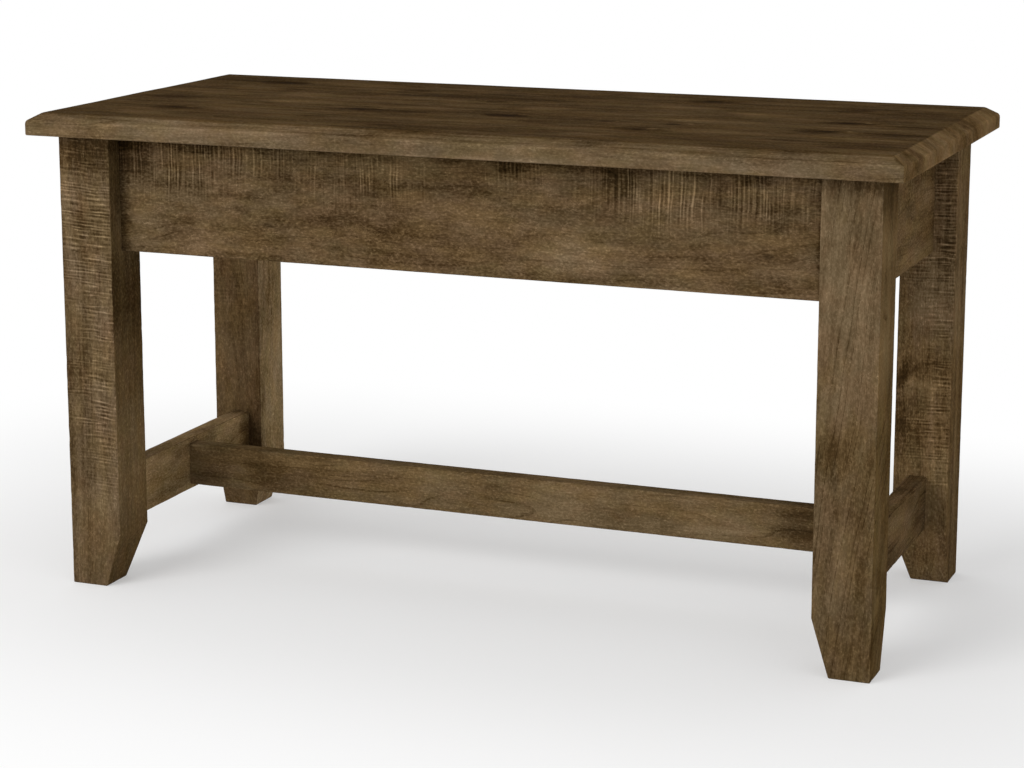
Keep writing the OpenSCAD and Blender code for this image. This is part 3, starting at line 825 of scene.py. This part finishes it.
# Seat
# Four boards glued edge to edge and planed as one, with a bevel all round that rolls over into the
# upright edge. The colour is darkest on top and lightest on the edge: partly the stain, which is
# lightest where the end grain shows at the two ends of the seat, and partly painted shade that darkens
# the top.
BEVEL_W = 13.8 * MM
BEVEL_DROP = 8.4 * MM
NOSE_R = 5 * MM
BROW_R = 8 * MM
LOWER_EDGE_R = 1.5 * MM
SEAT_CORNER_R = 2 * MM
SEAT_STEP = 6 * MM
SEAT_EDGE_LINES = [
    inset * MM for inset in (0, 0.25, 0.7, 1.3, 2.0, 2.5, 3.1, 5, 8, 11, 12.5, 14, 15.2, 16.6, 19, 23)
]
SEAT_LAYERS = 4
# The bevel was planed by hand, so its width wavers by a share, and the top sank a little like the faces of
# the legs. Its nose and its lower arris are polished by use, in patches.
WAVER = 0.05
WAVER_LEN = 45 * MM
TOP_HOLLOW = 0.25 * MM
TOP_HOLLOW_LEN = 80 * MM
NOSE_POLISH_AT = 1.2 * MM
NOSE_POLISH_W = 1.8 * MM
FOOT_POLISH_W = 2 * MM
SEAT_POLISH_LEN = 20 * MM
seat_boxes = [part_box(node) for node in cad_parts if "seat_board" in node]
seat_low = Vector([min(box[0][axis] for box in seat_boxes) for axis in range(3)])
seat_high = Vector([max(box[1][axis] for box in seat_boxes) for axis in range(3)])
SEAT_TH = seat_high.z - seat_low.z


def seat_height(inset):
    """Height of the seat's upper side above its lower face, at a distance in from its edge."""
    slope = math.atan2(BEVEL_DROP, BEVEL_W)
    edge_h = SEAT_TH - BEVEL_DROP
    bevel = edge_h + inset * math.tan(slope)
    nose_low = edge_h - NOSE_R * math.tan((math.pi / 2 - slope) / 2)
    nose = nose_low + np.sqrt(np.maximum(NOSE_R ** 2 - (NOSE_R - inset) ** 2, 0))
    brow_touch = BROW_R * math.tan(slope / 2)
    from_brow = np.maximum(BEVEL_W + brow_touch - inset, 0)
    brow = SEAT_TH - BROW_R + np.sqrt(np.maximum(BROW_R ** 2 - from_brow ** 2, 0))
    height = np.where(inset < NOSE_R * (1 - math.sin(slope)), nose, bevel)
    return np.where(inset > BEVEL_W - brow_touch * math.cos(slope), brow, height)


def seat_foot(inset):
    """How far the eased lower arris lifts above the seat's lower face."""
    in_curve = np.clip(LOWER_EDGE_R - inset, 0, None)
    return LOWER_EDGE_R - np.sqrt(LOWER_EDGE_R ** 2 - in_curve ** 2)


def split_on_mitre(quads, on_mitre):
    """Splits each quad that a corner's mitre crosses along that mitre, so that its crease is straight."""
    faces = []
    for a, b, c, d in quads:
        if on_mitre[a] and on_mitre[c] and not on_mitre[b] and not on_mitre[d]:
            faces += [(a, b, c), (a, c, d)]
        elif on_mitre[b] and on_mitre[d] and not on_mitre[a] and not on_mitre[c]:
            faces += [(a, b, d), (b, c, d)]
        else:
            faces.append((a, b, c, d))
    return faces


SEAT_BOARDS = {
    "seat_board_front": dict(pith=(-8, -70), seed=12, knots=[(163, 51, 6.5, 0.85), (-327, 50, 6.5, 0.8)]),
    "seat_board_front_middle": dict(
        pith=(14, -52), seed=13,
        knots=[
            (-149, -2, 6.5, 0.9), (10, 4, 6.0, 0.9), (114, -6, 5.0, 0.7), (182, -5, 5.5, 0.8),
            (335, -5, 6.5, 0.9),
        ],
    ),
    "seat_board_back_middle": dict(pith=(-18, -60), seed=14, knots=[(335, -42, 6.5, 0.9)]),
    "seat_board_back": dict(pith=(8, -48), seed=15, knots=[(163, -20, 7.0, 0.8), (-327, -20, 7.0, 0.8)]),
}
# The top's darker colour is partly stain and partly painted shade.
SEAT_TOP = ((0, 0, 1), 0.815, 0.93, "#4b3a24")
SEAT_EDGE = ((0, 0, -1), -0.78, -0.3, "#62513b")
SEAT_END_BEVELS = [((1, 0, 0), 0.2, 0.45, "#634e33"), ((-1, 0, 0), 0.2, 0.45, "#634e33")]
SEAT_END_EDGES = [((1, 0, 0), 0.6, 0.9, "#665034"), ((-1, 0, 0), 0.6, 0.9, "#665034")]
# Darker and lighter patches of stain on the seat: how far to the right of its middle and behind it each
# lies, its reach both ways, in mm, and its strength
SEAT_STAINS = [
    (-327, 139, 22, 18, -0.2), (161, 139, 22, 18, -0.2), (-327, -107, 24, 18, -0.2),
    (161, -107, 24, 18, -0.2), (-240, 144, 60, 12, 0.12), (-80, 140, 85, 10, 0.12),
    (242, 144, 56, 12, 0.12), (385, 140, 45, 10, 0.12), (-240, -102, 60, 12, 0.12),
    (-80, -106, 85, 10, 0.12), (240, -98, 56, 13, 0.15), (385, -103, 45, 10, 0.12),
    (-342, 93, 30, 16, 0.15), (138, 85, 30, 16, 0.15), (-340, -160, 30, 16, 0.15),
    (135, -160, 32, 16, 0.15), (-165, 112, 18, 12, -0.16), (317, 112, 18, 12, -0.15),
    (-165, -132, 20, 12, -0.12), (312, -132, 20, 12, -0.12), (-60, 82, 80, 28, -0.11),
    (390, 85, 50, 28, -0.12), (-60, -165, 80, 30, -0.11), (390, -152, 45, 24, -0.11),
    (-258, 45, 28, 18, 0.12), (231, 45, 26, 18, 0.15), (-342, 24, 30, 18, 0.1), (158, 26, 34, 18, 0.1),
    (-231, -20, 46, 14, 0.19), (196, -22, 58, 14, 0.2), (-88, -27, 60, 11, 0.11), (354, -30, 70, 11, 0.11),
    (26, 20, 24, 17, 0.2), (6, -52, 17, 12, -0.28), (-110, -60, 54, 12, -0.12), (-150, -62, 14, 10, -0.12),
    (328, -62, 22, 12, -0.21), (392, -62, 34, 12, -0.12), (-376, -24, 35, 14, -0.11),
    (336, 8, 18, 9, -0.21), (402, 3, 30, 8, -0.14), (-290, 80, 16, 14, -0.1), (196, 84, 16, 14, -0.1),
    (-46, 55, 14, 10, -0.15), (55, -88, 22, 12, -0.14), (60, 160, 16, 12, -0.11), (-140, -50, 6, 5, 0.3),
    (18, -44, 6, 5, 0.25), (343, -54, 6, 5, 0.3), (345, 16, 6, 5, 0.3), (172, -98, 6, 5, 0.3),
    (190, -52, 5, 5, 0.25), (-318, -100, 6, 5, 0.2), (-373, 145, 60, 45, -0.11), (-160, 145, 50, 45, -0.05),
    (-53, 145, 50, 45, -0.03), (53, 48, 60, 40, 0.05), (160, 48, 60, 40, 0.11), (267, 48, 50, 40, 0.05),
    (267, -48, 50, 40, 0.09), (-373, -48, 50, 40, -0.03), (0, 160, WHOLE, 40, -0.03),
    (-131, -202, 44, 10, -0.05), (-220, -206, 40, 8, -0.02), (130, -204, 50, 10, 0.05),
    (216, -202, 40, 10, 0.04), (-398, -202, 40, 10, 0.03), (308, -206, 40, 8, -0.03),
    (398, -202, 40, 10, -0.03),
]
# The same on the end grain of both ends: how far behind the seat's middle, its reach and its strength
END_STAINS = [
    (-165, 28, -0.06), (-112, 26, 0.14), (-84, 8, -0.05), (-42, 36, 0.13), (60, 40, -0.07), (142, 34, 0.13),
]
for node, wood in SEAT_BOARDS.items():
    low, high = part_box(node)
    xs = grid_lines(low.x, high.x, SEAT_STEP, SEAT_EDGE_LINES, SEAT_EDGE_LINES)
    at_front = SEAT_EDGE_LINES if low.y == seat_low.y else (0,)
    at_back = SEAT_EDGE_LINES if high.y == seat_high.y else (0,)
    ys = grid_lines(low.y, high.y, SEAT_STEP, at_front, at_back)
    flat, quads = closed_grid(xs, ys, [i / SEAT_LAYERS for i in range(SEAT_LAYERS + 1)])
    plan = flat * (1, 1, 0)
    inset_x = np.minimum(flat[:, 0] - seat_low.x, seat_high.x - flat[:, 0])
    inset_y = np.minimum(flat[:, 1] - seat_low.y, seat_high.y - flat[:, 1])
    quads = split_on_mitre(quads, np.isclose(inset_x, inset_y))
    hand = 1 + WAVER * chance(plan, WAVER_LEN, 3)
    upper = np.minimum(seat_height(inset_x * hand), seat_height(inset_y * hand))
    upper -= TOP_HOLLOW * (0.5 + 0.5 * chance(plan, TOP_HOLLOW_LEN, 5))
    lower = np.maximum(seat_foot(inset_x), seat_foot(inset_y))
    points = flat.copy()
    points[:, 2] = seat_low.z + lower + (upper - lower) * flat[:, 2]
    # The seat's four upright corners are eased too
    core_x = np.clip(flat[:, 0], seat_low.x + SEAT_CORNER_R, seat_high.x - SEAT_CORNER_R)
    core_y = np.clip(flat[:, 1], seat_low.y + SEAT_CORNER_R, seat_high.y - SEAT_CORNER_R)
    off = np.stack([flat[:, 0] - core_x, flat[:, 1] - core_y], axis=1)
    length = np.maximum(np.linalg.norm(off, axis=1), NO_LENGTH)
    reach = np.minimum(1, np.maximum(np.abs(off[:, 0]), np.abs(off[:, 1])) / length)
    points[:, 0] = core_x + off[:, 0] * reach
    points[:, 1] = core_y + off[:, 1] * reach
    inset = np.minimum(inset_x, inset_y)
    patchy = np.clip(0.5 + 0.9 * chance(plan, SEAT_POLISH_LEN, 8), 0, 1)
    by_nose = np.exp(-((inset - NOSE_POLISH_AT) / NOSE_POLISH_W) ** 2) * flat[:, 2] ** 4
    by_foot = np.exp(-(inset / FOOT_POLISH_W) ** 2) * (1 - flat[:, 2]) ** 4
    wear = (by_nose + by_foot) * (0.5 + 0.5 * patchy)
    middle = (low + high) / 2
    half_w = (high.y - low.y) / 2 / MM
    stains_and_shade = []
    for x, y, reach_x, reach_y, strength in SEAT_STAINS:
        across = y - middle.y / MM
        if abs(across) < half_w + SPOT_RIM * reach_y:
            stains_and_shade.append((x, across, reach_x, reach_y, strength))
    end_stains = [(0, y - middle.y / MM, WHOLE, reach, strength) for y, reach, strength in END_STAINS]
    finish = stained_wood(
        "stain_" + node, "x", middle, body="#68563f",
        faces=[SEAT_TOP, SEAT_EDGE, *SEAT_END_BEVELS, *SEAT_END_EDGES], across="right",
        lean=(0.004, 0.03), drift=12, stains_and_shade=stains_and_shade, side_stains_and_shade=end_stains, arcs=0.16, contrast=0.9,
        clouds=0.5, streaks=1.5, streak_w=13, rings=0.6, edge_calm=0.8, ragged=0.25, rubbing=0.25,
        worn_tone=0.04, gloss=0.001, **wood
    )
    make_piece(node, points, quads, wear, finish, crease=50)

# Screws
# Zinc-plated pan-head screws that hold the corner blocks to the aprons, and the blocks and the rail to
# the seat.
PLATING_DEPTH = 0.1 * MM
f = Finish("zinc_plating")
place = f.vector("MULTIPLY", f.lay("TexCoord", {}, "Object"), (1000, 1000, 1000))
dull = f.cloud(place, (1.5, 1.5, 1.5), 3.0, 0.6)
zinc = f.shades(dull, [(0.3, colour("#7f8386")), (0.7, colour("#b9bcbd"))])
rough = f.plus(0.34, f.swing(dull, 0.3))
bump = f.lay("Bump", {"Strength": 0.3, "Distance": PLATING_DEPTH, "Height": dull})
f.coat(zinc, rough, bump)
f.shader.inputs["Metallic"].default_value = 1.0
for node in ("apron_screws", "block_seat_screws", "rail_seat_screws"):
    for material_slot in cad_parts[node].material_slots:
        material_slot.material = f.material

# Floor, backdrop and lamps
# A pale studio floor that runs out into white, soft light from all round and one large lamp in front,
# to the left.
FLOOR_R = 16.0
FLOOR_SIDES = 96
FLOOR_GREY = (0.95, 0.95, 0.95, 1)
WHITE = (1, 1, 1, 1)
# The share of plain white in the floor close to the bench, and how far out it starts to grow and is whole
WHITE_NEAR = 0.35
WHITE_FROM = 0.05
WHITE_AT = 0.6
floor_mesh = bpy.data.meshes.new("floor")
rim = [
    (FLOOR_R * math.cos(math.tau * i / FLOOR_SIDES), FLOOR_R * math.sin(math.tau * i / FLOOR_SIDES), 0)
    for i in range(FLOOR_SIDES)
]
floor_mesh.from_pydata(rim, [], [list(range(FLOOR_SIDES))])
floor = bpy.data.objects.new("floor", floor_mesh)
bpy.context.scene.collection.objects.link(floor)
floor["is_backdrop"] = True


def seen_directly(tree):
    """1 for what the camera sees, straight on or through a reflection or glass, and 0 for other light."""
    path = tree.nodes.new("ShaderNodeLightPath")
    seen = path.outputs["Is Camera Ray"]
    for ray in ("Is Glossy Ray", "Is Transmission Ray"):
        either = tree.nodes.new("ShaderNodeMath")
        either.operation = "MAXIMUM"
        tree.links.new(seen, either.inputs[0])
        tree.links.new(path.outputs[ray], either.inputs[1])
        seen = either.outputs[0]
    return seen


f = Finish("studio_floor")
f.shader.inputs["Base Color"].default_value = FLOOR_GREY
f.shader.inputs["Roughness"].default_value = 0.9
f.shader.inputs["Specular IOR Level"].default_value = 0.0
from_middle = f.vector("ABSOLUTE", f.lay("TexCoord", {}, "Object"))
from_bench = f.vector("MAXIMUM", f.vector("SUBTRACT", from_middle, (cad_high.x, cad_high.y, 0)), (0, 0, 0))
away = f.vector("LENGTH", from_bench, output=1)
fade = f.plus(WHITE_NEAR, f.times(f.above(away, WHITE_FROM, WHITE_AT), 1 - WHITE_NEAR))
fade = f.times(fade, seen_directly(f.tree))
white = f.lay("Emission", {"Color": WHITE, "Strength": 1.0})
mixed = f.lay("MixShader", {0: fade, 1: f.shader.outputs[0], 2: white})
f.tree.links.new(mixed, f.tree.nodes["Material Output"].inputs["Surface"])
floor_mesh.materials.append(f.material)

FILL_LIGHT = 0.66
world = bpy.data.worlds.new("studio")
world.use_nodes = True
bpy.context.scene.world = world
sky = world.node_tree
level = sky.nodes.new("ShaderNodeMapRange")
level.inputs["To Min"].default_value = FILL_LIGHT
level.inputs["To Max"].default_value = 1.0
sky.links.new(seen_directly(sky), level.inputs["Value"])
sky.links.new(level.outputs[0], sky.nodes["Background"].inputs["Strength"])
sky.nodes["Background"].inputs["Color"].default_value = WHITE

LAMP_AT = Vector((-1.5, -3.0, 2.0))
LAMP_AIM = Vector((0, 0, 0.3))
LAMP_SIZE = 2.4
LAMP_POWER = 70
lamp_data = bpy.data.lights.new("front_lamp", "AREA")
lamp_data.shape = "DISK"
lamp_data.size = LAMP_SIZE
lamp_data.energy = LAMP_POWER
lamp = bpy.data.objects.new("front_lamp", lamp_data)
lamp.location = LAMP_AT
lamp.rotation_euler = (LAMP_AIM - LAMP_AT).to_track_quat("-Z", "Y").to_euler()
bpy.context.scene.collection.objects.link(lamp)

# Camera
# It stands in front of the bench, to the right and above the seat, and looks down at it through a long
# lens. Its angles are in degrees and its lens is in mm.
CAMERA_AT = (0.937, -2.362, 0.788)
LOOKS_DOWN = 11.52
TURNED_LEFT = 21.77
LENS = 89.57
SENSOR_W = 36
SHIFT = -0.06
camera_data = bpy.data.cameras.new("camera")
camera_data.sensor_width = SENSOR_W
camera_data.lens = LENS
camera_data.shift_y = SHIFT
camera = bpy.data.objects.new("camera", camera_data)
camera.location = CAMERA_AT
camera.rotation_euler = (math.radians(90 - LOOKS_DOWN), 0, math.radians(TURNED_LEFT))
bpy.context.scene.collection.objects.link(camera)
bpy.context.scene.camera = camera
bpy.context.scene.view_settings.view_transform = "Standard"

low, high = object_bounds()
